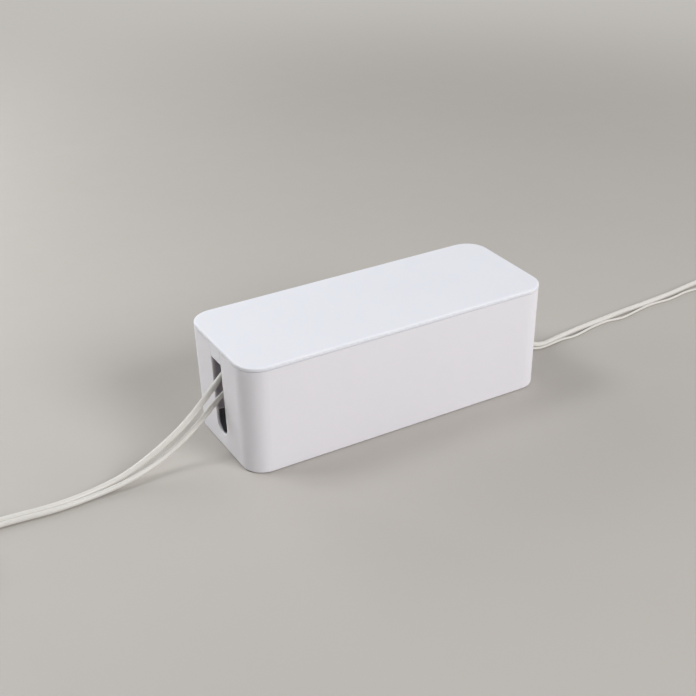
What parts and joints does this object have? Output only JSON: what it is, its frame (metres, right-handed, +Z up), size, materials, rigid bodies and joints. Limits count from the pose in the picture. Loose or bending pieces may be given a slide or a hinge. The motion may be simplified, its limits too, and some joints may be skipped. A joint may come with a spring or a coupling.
{
  "type": "cable management box",
  "caption": "Long plastic box with a lift-off lid that hides a socket strip with its plugs and charger, and lets the cords out through a slot in each end.",
  "frame": {"origin": "under the box's middle, on the surface that the feet stand on", "axes": "+X along the box, towards the supply cord; +Y to the rear; +Z up"},
  "size_m": [1.33, 0.2192, 0.1365],
  "materials": {
    "shell_white": "fine matte moulded plastic, neutral white",
    "lid_white": "fine matte moulded plastic, cool white",
    "foot_rubber": "soft grey rubber",
    "strip_white": "moulded plastic",
    "screw_steel": "zinc-plated",
    "contact_brass": "plain stamped brass",
    "switch_grey": "moulded plastic",
    "rocker_red": "smooth",
    "wire_brown": "wire insulation",
    "wire_blue": "wire insulation",
    "wire_green": "wire insulation",
    "cord_white": "soft satin cord sheath",
    "plug_white": "moulded plastic",
    "pin_nickel": "nickel-plated",
    "tie_grey": "woven hook-and-loop band"
  },
  "bodies": {
    "box": {"barrel_plug": "plug_white", "barrel_sleeve": "plug_white", "barrel_tip": "pin_nickel", "box_body": "shell_white", "charger": "plug_white", "charger_pins": "pin_nickel", "charger_sleeve": "plug_white", "clamp_screws": "screw_steel", "cord_clamp": "strip_white", "earth_bar": "contact_brass", "earth_wire": "wire_green", "foot_front_left": "foot_rubber", "foot_front_right": "foot_rubber", "foot_rear_left": "foot_rubber", "foot_rear_right": "foot_rubber", "line_bar": "contact_brass", "line_wire": "wire_brown", "lower_coil": "cord_white", "lower_connector": "plug_white", "lower_connector_sleeve": "plug_white", "lower_lead": "cord_white", "lower_plug": "plug_white", "lower_plug_contacts": "pin_nickel", "lower_plug_sleeve": "plug_white", "lower_tie": "tie_grey", "neutral_bar": "contact_brass", "neutral_wire": "wire_blue", "strip_base": "strip_white", "strip_cover": "strip_white", "strip_screws": "screw_steel", "supply_coil": "cord_white", "supply_lead": "cord_white", "supply_sleeve": "plug_white", "supply_tie": "tie_grey", "switch_frame": "switch_grey", "switch_terminals": "contact_brass", "thin_coil": "cord_white", "thin_lead": "cord_white", "thin_tie": "tie_grey", "upper_coil": "cord_white", "upper_connector": "plug_white", "upper_connector_sleeve": "plug_white", "upper_lead": "cord_white", "upper_plug": "plug_white", "upper_plug_contacts": "pin_nickel", "upper_plug_sleeve": "plug_white", "upper_tie": "tie_grey", "wall_plug": "plug_white", "wall_plug_contacts": "pin_nickel", "wall_plug_sleeve": "plug_white"},
    "lid": {"lid": "lid_white"},
    "rocker": {"switch_rocker": "rocker_red"}
  },
  "joints": [
    {"name": "lid_lift", "type": "slide", "parent": "box", "child": "lid", "axis": [0, 0, 1], "range_m": [0, 0.1]},
    {"name": "switch_rock", "type": "hinge", "parent": "box", "child": "rocker", "pos_m": [0.077, 0.014, 0.0386], "axis": [1, 0, 0], "range_deg": [-20, 0]}
  ]
}
